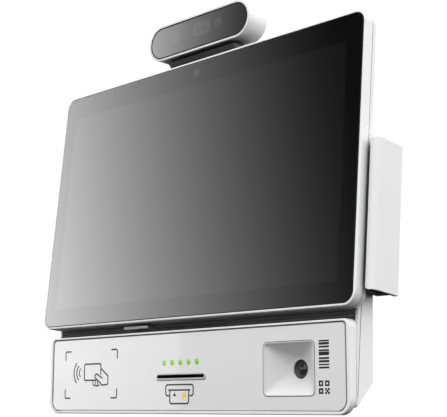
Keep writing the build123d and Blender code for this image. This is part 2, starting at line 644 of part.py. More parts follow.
save("module_bezel", module_bezel(), UPRIGHT)
save("module_panel", module_panel(), UPRIGHT)
save("module_chassis", module_chassis(), UPRIGHT)
save("slot_bezel", slot_bezel(), UPRIGHT)
save("card_reader_body", card_reader_body(), UPRIGHT)
save("card_contact_carriage", card_contact_carriage(), UPRIGHT)
save("light_pipes", Part() + [light_pipe(x) for x in LED_X], UPRIGHT)
save("light_board", light_board(), UPRIGHT)
save("scanner_funnel", scanner_funnel(), UPRIGHT)
save("scanner_window", scanner_window(), UPRIGHT)
save("scanner_engine", scanner_engine(), UPRIGHT)
save("antenna_board", antenna_board(), UPRIGHT)
save("control_board", control_board(), UPRIGHT)
module_screws = []
for side in (-1, 1):
    module_screws.append(screw(side * 168, -24, 9.5, 17.1, 1.3, 2.8, 1.6))
    module_screws.append(screw(side * 168, -58, 9.5, 13.65, 1.3, 2.8, 1.6))
save("module_screws", Part() + module_screws, UPRIGHT)

save("reader_cover", reader_cover(), SCREEN)
save("reader_base", reader_base(), SCREEN)
save("read_head", read_head(), SCREEN)
save("head_spring", head_spring(), SCREEN)
save("reader_screws", Part() + [reader_screw(z) for z in READER_SCREW_Z], SCREEN)

save("camera_housing", camera_housing(), UPRIGHT)
save("camera_glass", camera_glass(), UPRIGHT)
save("camera_lenses", Part() + [camera_lens(*lens) for lens in LENSES], UPRIGHT)
save("camera_board", camera_board(), UPRIGHT)
save("camera_back_plate", camera_back_plate(), UPRIGHT)
save("camera_bracket", camera_bracket(), UPRIGHT)
save("camera_hinge_pin", camera_hinge_pin(), UPRIGHT)
bracket_screws = [screw(x, 230.5, 12.2, 17.6, 1.15, 2.4, 1.4) for x in (-15, 15)]
save("camera_bracket_screws", Part() + bracket_screws, SCREEN)
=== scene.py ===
"""Looks of the self checkout kiosk head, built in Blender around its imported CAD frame."""
import json
import math

import bmesh
import bpy
from mathutils import Matrix, Vector


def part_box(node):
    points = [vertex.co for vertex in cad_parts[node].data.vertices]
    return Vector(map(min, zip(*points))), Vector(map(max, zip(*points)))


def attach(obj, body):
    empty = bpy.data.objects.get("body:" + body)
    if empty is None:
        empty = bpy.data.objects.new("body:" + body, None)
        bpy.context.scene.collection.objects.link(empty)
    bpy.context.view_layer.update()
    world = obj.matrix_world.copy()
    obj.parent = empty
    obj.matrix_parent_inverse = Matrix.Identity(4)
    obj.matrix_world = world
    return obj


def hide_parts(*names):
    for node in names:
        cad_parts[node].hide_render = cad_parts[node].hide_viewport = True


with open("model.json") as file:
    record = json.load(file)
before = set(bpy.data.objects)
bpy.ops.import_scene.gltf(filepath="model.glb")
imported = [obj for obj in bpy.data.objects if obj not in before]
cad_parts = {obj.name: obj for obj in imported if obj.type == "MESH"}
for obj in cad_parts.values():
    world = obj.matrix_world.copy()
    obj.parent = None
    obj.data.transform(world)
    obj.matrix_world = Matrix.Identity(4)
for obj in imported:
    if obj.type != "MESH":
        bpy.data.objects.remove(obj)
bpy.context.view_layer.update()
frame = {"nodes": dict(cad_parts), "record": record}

nodes = frame["nodes"]
MM = 0.001

# ---- places taken from the CAD frame ---------------------------------------------------------------
glass_lo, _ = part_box("touch_glass")
panel_lo, panel_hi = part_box("module_panel")
camera_lo, camera_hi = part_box("camera_glass")
window_lo, window_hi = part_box("scanner_window")
pipe_lo, pipe_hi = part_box("light_pipes")

GLASS_W, GLASS_H, GLASS_T, GLASS_R = 375.0, 232.9, 2.8, 9.0     # width, height, thickness, corners, mm
TILT = math.radians(5.75)       # how far the screen leans back
LEAN_C, LEAN_S = math.cos(TILT), math.sin(TILT)
SCREEN_Y = glass_lo.y
SCREEN_Z = glass_lo.z + GLASS_T * LEAN_S * MM     # the glass's front bottom edge


def on_screen(x, y, z):
    """A point of the leaning screen, in mm: x right, y into the unit, z up along the glass."""
    back, up = y * LEAN_C + z * LEAN_S, z * LEAN_C - y * LEAN_S
    return Vector((x * MM, SCREEN_Y + back * MM, SCREEN_Z + up * MM))


# ---- shader helpers ---------------------------------------------------------------------------------
MIX_FACTOR, MIX_DARK, MIX_LIGHT, MIX_RESULT = 0, 6, 7, 2     # sockets of the Mix node, set to colours
CLOUD, SMUDGE, EDGE_PATCH_SCALE = 14.0, 45.0, 160.0          # noise scales: colour drift, uneven polish, patches of the lightened edges
LIT_WORN_EDGE = 0.0004                              # width of a lightened edge, partly worn and partly a painted highlight, m


def grey(value):
    return (value, value, value)


def new_material(name):
    mat = bpy.data.materials.new(name)
    mat.use_nodes = True
    tree = mat.node_tree
    shader = tree.nodes["Principled BSDF"]
    return mat, tree, shader


def put(node, **values):
    """Sets inputs of a node by name, with _ for each space."""
    for key, value in values.items():
        node.inputs[key.replace("_", " ")].default_value = value


def noise(tree, scale, detail=3.0, stretch=None):
    """Noise in object space; stretch scales it along each axis."""
    coords = tree.nodes.new("ShaderNodeTexCoord")
    mapping = tree.nodes.new("ShaderNodeMapping")
    if stretch:
        mapping.inputs["Scale"].default_value = stretch
    tex = tree.nodes.new("ShaderNodeTexNoise")
    put(tex, Scale=scale, Detail=detail)
    tree.links.new(coords.outputs["Object"], mapping.inputs["Vector"])
    tree.links.new(mapping.outputs["Vector"], tex.inputs["Vector"])
    return tex.outputs["Fac"]


def span(tree, value, low, high, start=0.3, end=0.7):
    """Maps value from start...end to low...high."""
    node = tree.nodes.new("ShaderNodeMapRange")
    put(node, From_Min=start, From_Max=end, To_Min=low, To_Max=high)
    tree.links.new(value, node.inputs["Value"])
    return node.outputs["Result"]


def blend_colour(tree, factor, dark, light):
    """Mixes two colours by a node's output; each colour may be a value or an output too."""
    node = tree.nodes.new("ShaderNodeMix")
    node.data_type = "RGBA"
    for socket, value in ((MIX_DARK, dark), (MIX_LIGHT, light)):
        if hasattr(value, "is_output"):
            tree.links.new(value, node.inputs[socket])
        else:
            node.inputs[socket].default_value = (*value, 1.0)
    tree.links.new(factor, node.inputs[MIX_FACTOR])
    return node.outputs[MIX_RESULT]


def edge_mask(tree):
    """1 on sharp edges, 0 on flats: how far a rounded normal differs from the real one."""
    bevel = tree.nodes.new("ShaderNodeBevel")
    bevel.samples = 4
    bevel.inputs["Radius"].default_value = LIT_WORN_EDGE
    geometry = tree.nodes.new("ShaderNodeNewGeometry")
    dot = tree.nodes.new("ShaderNodeVectorMath")
    dot.operation = "DOT_PRODUCT"
    tree.links.new(bevel.outputs["Normal"], dot.inputs[0])
    tree.links.new(geometry.outputs["Normal"], dot.inputs[1])
    return span(tree, dot.outputs["Value"], 1.0, 0.0, start=0.80, end=0.995)


def surface(name, colour, rough, grain=900.0, bump=0.00001, vary=0.04, wear=0.0, wear_colour=None,
            stretch=None, crevice=0.0, reach=0.006, **sockets):
    """
    Moulded, painted or metal finish with uneven colour and roughness and a fine grain. Its edges can be
    lightened, partly as wear and partly as a painted highlight, and its corners darkened with painted shade
    over a reach in metres.
    """
    mat, tree, shader = new_material(name)
    dark = tuple(c * (1 - vary) for c in colour)
    light = tuple(min(1.0, c * (1 + vary)) for c in colour)
    cloud = noise(tree, CLOUD, 4.0, stretch)
    tint = blend_colour(tree, span(tree, cloud, 0.0, 1.0), dark, light)
    # Painted shade: the colour darkens where ambient occlusion finds other surfaces within reach.
    if crevice:
        corner = tree.nodes.new("ShaderNodeAmbientOcclusion")
        corner.samples = 8
        put(corner, Distance=reach)
        painted_shade = tuple(c * (1 - crevice) for c in colour)
        unshaded = span(tree, corner.outputs["AO"], 0.0, 1.0, start=0.1, end=0.85)
        tint = blend_colour(tree, unshaded, painted_shade, tint)
    # Lighter edges in patches: partly wear, partly a painted highlight along the edges.
    if wear:
        mask = edge_mask(tree)
        edge_patches = span(tree, noise(tree, EDGE_PATCH_SCALE, 5.0), 0.0, wear, start=0.42, end=0.62)
        product = tree.nodes.new("ShaderNodeMath")
        product.operation = "MULTIPLY"
        tree.links.new(mask, product.inputs[0])
        tree.links.new(edge_patches, product.inputs[1])
        tint = blend_colour(tree, product.outputs[0], tint, wear_colour or light)
    tree.links.new(tint, shader.inputs["Base Color"])
    smudge = noise(tree, SMUDGE, 5.0, stretch)
    tree.links.new(span(tree, smudge, rough * 0.88, rough * 1.14), shader.inputs["Roughness"])
    if bump:
        relief = tree.nodes.new("ShaderNodeBump")
        put(relief, Strength=0.5, Distance=bump)
        tree.links.new(noise(tree, grain, 2.0, stretch), relief.inputs["Height"])
        tree.links.new(relief.outputs["Normal"], shader.inputs["Normal"])
    put(shader, **sockets)
    return mat


def circuit(name):
    """Green solder mask over copper tracks, with gold pads."""
    mat, tree, shader = new_material(name)
    coords = tree.nodes.new("ShaderNodeTexCoord")
    brick = tree.nodes.new("ShaderNodeTexBrick")
    put(brick, Scale=90.0, Mortar_Size=0.035, Brick_Width=0.9, Row_Height=0.2)
    tracks = {"Color1": (0.01, 0.11, 0.05, 1), "Color2": (0.012, 0.14, 0.06, 1),
              "Mortar": (0.05, 0.26, 0.12, 1)}
    for key, colour in tracks.items():
        brick.inputs[key].default_value = colour
    swap = tree.nodes.new("ShaderNodeMapping")
    swap.inputs["Rotation"].default_value = (math.radians(90), 0, 0)
    tree.links.new(coords.outputs["Object"], swap.inputs["Vector"])
    tree.links.new(swap.outputs["Vector"], brick.inputs["Vector"])
    pads = span(tree, noise(tree, 420.0, 1.0), 0.0, 1.0, start=0.66, end=0.70)
    gold = (0.62, 0.50, 0.25)
    tree.links.new(blend_colour(tree, pads, brick.outputs["Color"], gold), shader.inputs["Base Color"])
    tree.links.new(span(tree, noise(tree, 200.0), 0.28, 0.42), shader.inputs["Roughness"])
    relief = tree.nodes.new("ShaderNodeBump")
    put(relief, Strength=0.6, Distance=0.00004)
    tree.links.new(brick.outputs["Fac"], relief.inputs["Height"])
    tree.links.new(relief.outputs["Normal"], shader.inputs["Normal"])
    return mat


# Colours are linear. The white shells share one moulding finish, each with painted shade in its crevices over
# a reach of its own.
WHITE = grey(0.86)
WHITE_FINISH = {"rough": 0.34, "vary": 0.006, "wear": 0.4, "wear_colour": grey(0.93)}
MATERIALS = {
    "white_shell": surface("white_moulding", WHITE, **WHITE_FINISH, crevice=0.7, reach=0.005),
    "light_panel": surface("gloss_panel", grey(0.73), 0.36, 1400.0, 0.000004, vary=0.004,
                           crevice=0.3, reach=0.002,
                           Coat_Weight=1.0, Coat_Roughness=0.03, Coat_IOR=1.5),
    "reader_shell": surface("reader_moulding", grey(0.80), 0.42, 1100.0, 0.000014, vary=0.006,
                            wear=0.4, wear_colour=grey(0.9), crevice=0.6, reach=0.004),
    "funnel_shell": surface("funnel_moulding", grey(0.70), 0.45, 1200.0, vary=0.008,
                            crevice=0.45, reach=0.007),
    "frame_casting": surface("frame_moulding", grey(0.84), 0.40, 800.0, vary=0.008,
                             wear=0.4, wear_colour=grey(0.9), crevice=0.95, reach=0.013),
    "charcoal_plastic": surface("charcoal_plastic", (0.050, 0.050, 0.051), 0.42, 1000.0, 0.00002,
                                vary=0.1, wear=0.5, wear_colour=grey(0.12), crevice=0.5),
    "black_plastic": surface("black_plastic", grey(0.010), 0.5, 900.0, 0.00002, vary=0.15,
                             wear=0.3, wear_colour=grey(0.06)),
    "bracket_grey": surface("bracket_coat", (0.085, 0.085, 0.088), 0.40, 1500.0, 0.00002, vary=0.06,
                            wear=0.6, wear_colour=(0.30, 0.30, 0.31), crevice=0.8, reach=0.005),
    "latch_silver": surface("satin_aluminium", (0.78, 0.78, 0.79), 0.36, 500.0, vary=0.05,
                            Metallic=1.0, stretch=(1, 12, 12), wear=0.5,
                            wear_colour=(0.85, 0.85, 0.86), crevice=0.7, reach=0.004),
    "wedge_casting": surface("cast_grey_coat", (0.30, 0.30, 0.31), 0.50, 600.0, 0.00005, vary=0.06,
                             wear=0.7, wear_colour=(0.62, 0.62, 0.64), crevice=0.5),
    "steel": surface("zinc_steel", (0.58, 0.58, 0.60), 0.28, 700.0, 0.00001, vary=0.08,
                     Metallic=1.0, wear=0.5, wear_colour=(0.85, 0.85, 0.86)),
    "gold_contact": surface("gold_plate", (0.80, 0.58, 0.22), 0.25, 900.0, vary=0.06, Metallic=1.0),
    "chip_black": surface("chip_black", (0.018, 0.018, 0.019), 0.40, 1500.0, 0.00001, vary=0.1,
                          wear=0.4, wear_colour=grey(0.09)),
    "heat_sink_alu": surface("black_anodised", (0.035, 0.035, 0.037), 0.34, 800.0, 0.00001, vary=0.08,
                             Metallic=0.6, stretch=(1, 1, 10), wear=0.7,
                             wear_colour=(0.35, 0.35, 0.36)),
    "foam": surface("gasket_foam", grey(0.012), 0.9, 2500.0, 0.0001, vary=0.2),
    "lcd_layer": surface("lcd_cell", (0.02, 0.02, 0.023), 0.2, 900.0, 0.0, vary=0.03),
    "backlight": surface("backlight_tray", grey(0.62), 0.35, 700.0, vary=0.04),
    "circuit_board": circuit("circuit_board"),
}
INK_GRAIN = {"grain": 1800.0, "bump": 0.000006}
PRINT = {
    "grey": surface("grey_print", (0.030, 0.030, 0.033), 0.6, **INK_GRAIN, vary=0.10),
    "dark": surface("dark_print", (0.006, 0.006, 0.008), 0.6, **INK_GRAIN, vary=0.15),
    "yellow": surface("yellow_print", (1.0, 0.71, 0.022), 0.5, **INK_GRAIN, vary=0.04),
}


def dark_glass(name, colour, rough, ior, vary=0.05):
    """Coated black glass: near black body, sharp reflection with a trace of uneven polish."""
    mat, tree, shader = new_material(name)
    dark = tuple(c * (1 - vary) for c in colour)
    light = tuple(c * (1 + vary) for c in colour)
    tree.links.new(blend_colour(tree, noise(tree, 30.0, 4.0), dark, light), shader.inputs["Base Color"])
    tree.links.new(span(tree, noise(tree, 60.0, 5.0), rough * 0.8, rough * 1.3), shader.inputs["Roughness"])
    put(shader, IOR=ior)
    return mat


border_glass = dark_glass("screen_border_glass", grey(0.0012), 0.035, 1.50)
picture_glass = dark_glass("screen_picture_glass", (0.0045, 0.0045, 0.0048), 0.035, 1.53)
webcam_glass = dark_glass("webcam_glass", grey(0.006), 0.05, 1.60)
camera_black = dark_glass("camera_bar_glass", grey(0.0012), 0.035, 1.50)
scanner_glass = dark_glass("scanner_glass", (0.03, 0.03, 0.034), 0.06, 1.5)
MATERIALS["screen_glass"] = border_glass
MATERIALS["camera_glass"] = camera_black
MATERIALS["scanner_glass"] = scanner_glass


def green_light():
    """Lit light pipe, yellower at the left end of the row and deeper green at the right end."""
    mat, tree, shader = new_material("green_light")
    coords = tree.nodes.new("ShaderNodeTexCoord")
    split = tree.nodes.new("ShaderNodeSeparateXYZ")
    tree.links.new(coords.outputs["Object"], split.inputs[0])
    along = span(tree, split.outputs["X"], 0.0, 1.0, start=pipe_lo.x, end=pipe_hi.x)
    row = blend_colour(tree, along, (0.40, 0.70, 0.012), (0.13, 0.62, 0.0))
    speck = blend_colour(tree, span(tree, noise(tree, 900.0), 0.0, 0.25), row, (0.42, 0.78, 0.05))
    tree.links.new(speck, shader.inputs["Base Color"])
    tree.links.new(row, shader.inputs["Emission Color"])
    tree.links.new(span(tree, noise(tree, 500.0), 0.20, 0.34), shader.inputs["Roughness"])
    put(shader, Emission_Strength=0.12, IOR=1.49, Specular_IOR_Level=0.15)
    return mat


MATERIALS["green_light"] = green_light()
# Nodes that share a slot with others and still need a finish of their own; the camera housing and the
# display bezel carry deeper painted shade, over a longer reach.
SPECIAL = {
    "camera_housing": surface("camera_moulding", WHITE, **WHITE_FINISH, crevice=0.97, reach=0.04),
    "neck_cover": surface("neck_moulding", (0.060, 0.060, 0.062), 0.42, 1000.0, 0.00002, vary=0.06,
                          wear=0.6, wear_colour=grey(0.30), crevice=0.6, reach=0.003),
    "display_bezel": surface("bezel_moulding", WHITE, **WHITE_FINISH, crevice=0.96, reach=0.028),
}

for row in frame["record"]["subparts"]:
    node = nodes[row["node"]]
    node.data.materials.clear()
    node.data.materials.append(MATERIALS[row["material_slot"]])
for name, mat in SPECIAL.items():
    nodes[name].data.materials[0] = mat

# ---- mesh helpers -----------------------------------------------------------------------------------
FLAT_CREASE = 12.0      # degrees: keeps a polished face truly flat up to its ground edge


def piece(name, bm, materials, body="root", stands_for=(), smooth=False, crease=35.0):
    """One piece of the visual, riding on a body; an edge over crease, in degrees, stays sharp."""
    mesh = bpy.data.meshes.new(name)
    bmesh.ops.recalc_face_normals(bm, faces=bm.faces)
    bm.to_mesh(mesh)
    bm.free()
    obj = bpy.data.objects.new(name, mesh)
    bpy.context.scene.collection.objects.link(obj)
    for mat in materials:
        mesh.materials.append(mat)
    if smooth:
        mesh.shade_smooth()
        mesh.set_sharp_from_angle(angle=math.radians(crease))
    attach(obj, body)
    if stands_for:
        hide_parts(*stands_for)


def rounded(x0, x1, z0, z1, r, steps=10):
    """Corner-rounded rectangle as (x, z) points."""
    corners = ((x1 - r, z1 - r, 0), (x0 + r, z1 - r, 90), (x0 + r, z0 + r, 180), (x1 - r, z0 + r, 270))
    points = []
    for cx, cz, start in corners:
        for i in range(steps + 1):
            a = math.radians(start + 90 * i / steps)
            points.append((cx + r * math.cos(a), cz + r * math.sin(a)))
    return points


def circle(cx, cz, r, steps=48):
    turns = [2 * math.pi * i / steps for i in range(steps)]
    return [(cx + r * math.cos(a), cz + r * math.sin(a)) for a in turns]


def arc(cx, cz, r, a0, a1, steps=14):
    """Points of an arc from a0 to a1 degrees."""
    angles = [math.radians(a0 + (a1 - a0) * i / steps) for i in range(steps + 1)]
    return [(cx + r * math.cos(a), cz + r * math.sin(a)) for a in angles]


def square(cx, cz, half):
    return [(cx - half, cz - half), (cx + half, cz - half), (cx + half, cz + half), (cx - half, cz + half)]


def fill(bm, loops, place, material_index=0):
    """One flat face region bounded by loops of 2D points; place turns a point into a 3D one."""
    edges = []
    for loop in loops:
        verts = [bm.verts.new(place(*p)) for p in loop]
        edges += [bm.edges.new((verts[i], verts[(i + 1) % len(verts)])) for i in range(len(verts))]
    result = bmesh.ops.triangle_fill(bm, use_beauty=True, edges=edges)
    for item in result["geom"]:
        if isinstance(item, bmesh.types.BMFace):
            item.material_index = material_index


def wall(bm, loop_a, loop_b, material_index=0):
    """Side faces between two loops of 3D points."""
    a = [bm.verts.new(p) for p in loop_a]
    b = [bm.verts.new(p) for p in loop_b]
    n = len(a)
    for i in range(n):
        face = bm.faces.new((a[i], a[(i + 1) % n], b[(i + 1) % n], b[i]))
        face.material_index = material_index


def stroke(points, width, closed=False):
    """Outline of a line of a given width along 2D points, with mitred corners."""
    n = len(points)
    left, right = [], []
    for i in range(n):
        before = points[i - 1] if i or closed else points[i]
        after = points[(i + 1) % n] if i < n - 1 or closed else points[i]
        d0 = Vector(points[i]) - Vector(before)
        d1 = Vector(after) - Vector(points[i])
        d0 = d0.normalized() if d0.length else d1.normalized()
        d1 = d1.normalized() if d1.length else d0
        normal = Vector((-(d0.y + d1.y), d0.x + d1.x)).normalized()
        reach = width / 2 / max(0.35, normal.dot(Vector((-d0.y, d0.x))))
        left.append(tuple(Vector(points[i]) + normal * reach))
        right.append(tuple(Vector(points[i]) - normal * reach))
    return (left, right) if closed else (left + right[::-1],)


def prism(bm, loops, place, y0, y1):
    """A flat shape with holes, given thickness from y0 to y1."""
    fill(bm, loops, lambda x, z: place(x, y0, z))
    fill(bm, loops, lambda x, z: place(x, y1, z))
    for loop in loops:
        wall(bm, [place(x, y0, z) for x, z in loop], [place(x, y1, z) for x, z in loop])


def merge(bm):
    bmesh.ops.remove_doubles(bm, verts=bm.verts, dist=2e-6)


def revolve(bm, centre, profile, steps=40, material_index=0):
    """Turns (radius, depth) points in mm about the Y axis through centre; a radius of 0 is one point."""
    turns = [2 * math.pi * i / steps for i in range(steps)]
    rings = []
    for r, y in profile:
        if r < 1e-6:
            rings.append([bm.verts.new(centre + Vector((0, y * MM, 0)))])
            continue
        rings.append([bm.verts.new(centre + Vector((r * MM * math.cos(a), y * MM, r * MM * math.sin(a))))
                      for a in turns])
    for a, b in zip(rings, rings[1:]):
        for i in range(steps):
            j = (i + 1) % steps
            if len(a) == 1:
                face = bm.faces.new((a[0], b[i], b[j]))
            elif len(b) == 1:
                face = bm.faces.new((a[i], b[0], a[j]))
            else:
                face = bm.faces.new((a[i], b[i], b[j], a[j]))
            face.material_index = material_index


# ---- touch glass: polished edge, black border, picture area and webcam window ----------------------
EDGE = 0.25                                 # depth and width of the polished edge, mm
PICTURE = (-172.1, 172.1, 16.8, 210.4)      # left, right, bottom and top of the picture area, mm
WEBCAM = (0, 222.5, 3.75)                   # centre and radius of the webcam window, mm


def touch_glass():
    """The leaning glass; material 0 is the border, 1 the picture area, 2 the webcam, 3 the edge and back."""
    bm = bmesh.new()
    half = GLASS_W / 2
    rim = [rounded(-half + d, half - d, d, GLASS_H - d, GLASS_R - d) for d in (0.0, EDGE, 0.55)]
    picture = rounded(*PICTURE, 0.6, 3)
    webcam = circle(*WEBCAM, 32)

    def front(x, z):
        return on_screen(x, 0.0, z)

    fill(bm, [rim[2], picture, webcam], front, 0)
    fill(bm, [picture], front, 1)
    fill(bm, [webcam], front, 2)
    depths = (EDGE, 0.0, 0.0)
    for k in (0, 1):
        outer = [on_screen(x, depths[k], z) for x, z in rim[k]]
        wall(bm, outer, [on_screen(x, depths[k + 1], z) for x, z in rim[k + 1]], 3)
    wall(bm, [on_screen(x, EDGE, z) for x, z in rim[0]], [on_screen(x, GLASS_T, z) for x, z in rim[0]], 3)
    fill(bm, [rim[0]], lambda x, z: on_screen(x, GLASS_T, z), 3)
    merge(bm)
    piece("touch_glass_panel", bm, [border_glass, picture_glass, webcam_glass, MATERIALS["foam"]],
          stands_for=["touch_glass"], smooth=True, crease=FLAT_CREASE)


touch_glass()


# ---- printed marks on the module panel ---------------------------------------------------------------
LEVEL = panel_hi.z / MM + 13.7      # the level the marks' heights are counted from, mm
INK = 0.035                         # how far a mark stands out of the panel, mm
INK_ROOT = 0.02                     # how far it reaches in, mm
LINE = 1.3                          # width of the printed lines, mm


def on_panel(x, y, z):
    """A point of the module panel: x and z in mm, y in mm in front of its face (negative) or behind it."""
    return Vector((x * MM, panel_lo.y + y * MM, (LEVEL + z) * MM))


def printed(name, shapes, material):
    """One printed mark, made of several closed shapes; each shape is a list of loops."""
    bm = bmesh.new()
    for loops in shapes:
        prism(bm, loops, on_panel, -INK, INK_ROOT)
    merge(bm)
    piece(name, bm, [material])


def corner_mark(x, z, dx, dz, leg=8.3, r=1.6):
    """An L of a target frame, its corner rounded; dx and dz point along its legs."""
    bend = [(x + dx * (r - r * math.sin(math.radians(a))), z + dz * (r - r * math.cos(math.radians(a))))
            for a in range(0, 91, 15)]
    return stroke([(x + dx * leg, z)] + bend + [(x, z + dz * leg)], LINE)


TAP_X0, TAP_X1, TAP_Z0, TAP_Z1 = -157.8, -82.6, -67.5, -24.4
printed("print_tap_target", [corner_mark(TAP_X0, TAP_Z1, 1, -1), corner_mark(TAP_X1, TAP_Z1, -1, -1),
                             corner_mark(TAP_X0, TAP_Z0, 1, 1), corner_mark(TAP_X1, TAP_Z0, -1, 1)],
        PRINT["grey"])

WAVE_CENTRE = (-132.4, -44.3)
WAVES = ((12.4, 48), (8.4, 51), (4.6, 56))      # radius in mm and half of the angle in degrees
printed("print_waves", [stroke(arc(*WAVE_CENTRE, radius, 180 - half, 180 + half), LINE)
                        for radius, half in WAVES], PRINT["grey"])

# A hand with a thumb over a card and three finger tips under it.
THUMB = [(-103.0, -49.9), (-111.3, -45.7), (-112.9, -46.2), (-114.0, -47.4), (-113.6, -49.0), (-103.4, -56.0),
         (-96.0, -55.5), (-95.2, -54.6), (-95.2, -47.9), (-104.8, -41.3)]
HELD_CARD = [(-105.5, -46.9), (-105.5, -38.0), (-106.6, -36.6), (-128.2, -36.6), (-129.3, -37.7),
             (-129.3, -50.3), (-128.2, -51.4), (-111.6, -51.4)]
FINGER_X, FINGER_PITCH, FINGER_TOP = -116.6, 3.3, -52.0
FINGER_TIPS = (-56.2, -56.9, -56.6)
fingers = []
for k, tip in enumerate(FINGER_TIPS):
    x = FINGER_X + FINGER_PITCH * k
    finger = [(x, FINGER_TOP), (x, tip + 1.2), (x + 0.8, tip), (x + 2.2, tip), (x + 3.0, tip + 1.2)]
    fingers.append(stroke(finger, 0.8 * LINE))
printed("print_hand_card", [stroke(HELD_CARD, LINE), stroke(THUMB, LINE)] + fingers, PRINT["grey"])

# A card under a slot, with an arrow that points up into it.
SLOT_X0, SLOT_X1 = -17.7, 15.9
HOLDER = [(-13.4, -66.2), (SLOT_X0 + 1.4, -66.2), (SLOT_X0, -64.8), (SLOT_X0, -58.4), (SLOT_X0 + 1.4, -57.0),
          (SLOT_X1 - 1.4, -57.0), (SLOT_X1, -58.4), (SLOT_X1, -64.8), (SLOT_X1 - 1.4, -66.2), (11.4, -66.2)]
CARD_OUTLINE = [(-12.6, -61.6), (-12.6, -71.4), (-11.3, -72.8), (9.2, -72.8), (10.5, -71.4), (10.5, -61.6)]
SLOT_LINE = [(-14.5, -61.5), (12.6, -61.5)]
ARROW = [(-6.7, -63.3), (-8.8, -66.6), (-4.6, -66.6)]
printed("print_insert_card", [stroke(HOLDER, LINE), stroke(CARD_OUTLINE, LINE), stroke(SLOT_LINE, LINE),
                              (ARROW,)], PRINT["grey"])
printed("print_card_chip", [(rounded(2.6, 7.6, -68.4, -63.7, 0.8, 4),)], PRINT["yellow"])

# A plain row of bars over a small mark of squares; neither carries a code.
BOLD = 0.6                          # half of a bar's printed height, a little spread as ink does
BAR_X0, BAR_X1 = 151.5, 161.4
BARS = ((-26.6, 1.0), (-28.6, 1.5), (-31.0, 1.1), (-33.7, 1.1), (-36.1, 2.3), (-39.6, 1.2), (-41.9, 1.4),
        (-44.3, 0.9), (-46.6, 1.1))     # level and height of each, mm
SQUARE_X0, SQUARE_X1, SQUARE_Z0, SQUARE_Z1 = 153.2, 159.2, -63.9, -58.2
DOT_PITCH = 1.35
marks = [([(BAR_X0, z - h * BOLD), (BAR_X1, z - h * BOLD), (BAR_X1, z + h * BOLD), (BAR_X0, z + h * BOLD)],)
         for z, h in BARS]
for cx, cz in ((SQUARE_X0, SQUARE_Z1), (SQUARE_X1, SQUARE_Z1), (SQUARE_X0, SQUARE_Z0)):
    marks.append((square(cx, cz, 2.1), square(cx, cz, 0.75)))
for i, j in ((-1, -1), (1, -1), (0, 0), (-1, 1), (1, 1)):
    marks.append((square(SQUARE_X1 + DOT_PITCH * i, SQUARE_Z0 + DOT_PITCH * j, 0.85),))
printed("print_codes", marks, PRINT["dark"])


# ---- scanner recess: one smooth funnel from a rounded square lip to the round window ------------------
def superloop(x0, x1, z0, z1, r, count=72):
    """Rounded rectangle as points at equal angles from its centre, so that loops can be joined."""
    cx, cz, hx, hz = (x0 + x1) / 2, (z0 + z1) / 2, (x1 - x0) / 2, (z1 - z0) / 2
    points = []
    for i in range(count):
        a = 2 * math.pi * i / count
        dx, dz = math.cos(a), math.sin(a)
        low, high = 0.0, hx + hz
        for _ in range(40):
            t = (low + high) / 2
            ox, oz = max(abs(dx * t) - (hx - r), 0), max(abs(dz * t) - (hz - r), 0)
            inside = abs(dx * t) <= hx and abs(dz * t) <= hz and math.hypot(ox, oz) <= r + 1e-9
            low, high = (t, high) if inside else (low, t)
        points.append((cx + dx * low, cz + dz * low))
    return points


def loft(bm, loops):
    """Skin through loops of 3D points that all have the same number of points."""
    rings = [[bm.verts.new(p) for p in loop] for loop in loops]
    n = len(rings[0])
    for a, b in zip(rings, rings[1:]):
        for i in range(n):
            bm.faces.new((a[i], a[(i + 1) % n], b[(i + 1) % n], b[i]))


RECESS_X0, RECESS_X1, RECESS_Z0, RECESS_Z1 = 96.1, 146.2, -66.4, -26.7
LIP = ((0.9, 0.02, 3.7), (0.85, -0.12, 3.7), (0.6, -0.2, 3.4), (0.2, -0.14, 3.0),
       (-0.15, 0.15, 2.7), (-0.3, 0.6, 2.6))        # growth, depth and corner radius of each loop, mm
THROAT = ((7.85, 14.35), (7.55, 14.5), (7.45, 14.9), (7.45, 16.2), (8.6, 16.5))    # radius and depth, mm
FUNNEL_R = 8.1                      # half width of the funnel where it meets the throat, mm
FUNNEL_DEPTH, FUNNEL_LEVEL = 15.0, 1.2     # how far the wall runs in, and how much its foot levels out, mm
FUNNEL_STEPS = 14


def scanner_recess():
    bm = bmesh.new()
    cx, cz = (RECESS_X0 + RECESS_X1) / 2, (RECESS_Z0 + RECESS_Z1) / 2
    loops = []

    def add_loop(left, right, bottom, top, r, depth):
        loops.append([on_panel(x, depth, z) for x, z in superloop(left, right, bottom, top, r)])

    for grow, depth, r in LIP:
        add_loop(RECESS_X0 - grow, RECESS_X1 + grow, RECESS_Z0 - grow, RECESS_Z1 + grow, r, depth)
    half_x, half_z = (RECESS_X1 - RECESS_X0) / 2, (RECESS_Z1 - RECESS_Z0) / 2
    inset, top_depth, top_r = -LIP[-1][0], LIP[-1][1], LIP[-1][2]
    for k in range(1, FUNNEL_STEPS + 1):
        t = k / FUNNEL_STEPS
        shrink = t ** 0.92
        hx = half_x - inset + (FUNNEL_R - half_x + inset) * shrink
        hz = half_z - inset + (FUNNEL_R - half_z + inset) * shrink
        r = top_r + (min(hx, hz) - top_r) * t ** 1.6
        depth = top_depth + FUNNEL_DEPTH * t - FUNNEL_LEVEL * t ** 6
        add_loop(cx - hx, cx + hx, cz - hz, cz + hz, min(r, hx, hz), depth)
    for r, depth in THROAT:
        add_loop(cx - r, cx + r, cz - r, cz + r, r, depth)
    loft(bm, loops)
    piece("scanner_recess", bm, [MATERIALS["funnel_shell"]], stands_for=["scanner_funnel"],
          smooth=True)


scanner_recess()

# The dark line between the recess and the panel: painted shade in the gap between them, set down as print.
printed("recess_joint", [stroke(rounded(94.95, 147.35, -67.55, -25.55, 4.2), 0.55, True)], PRINT["grey"])


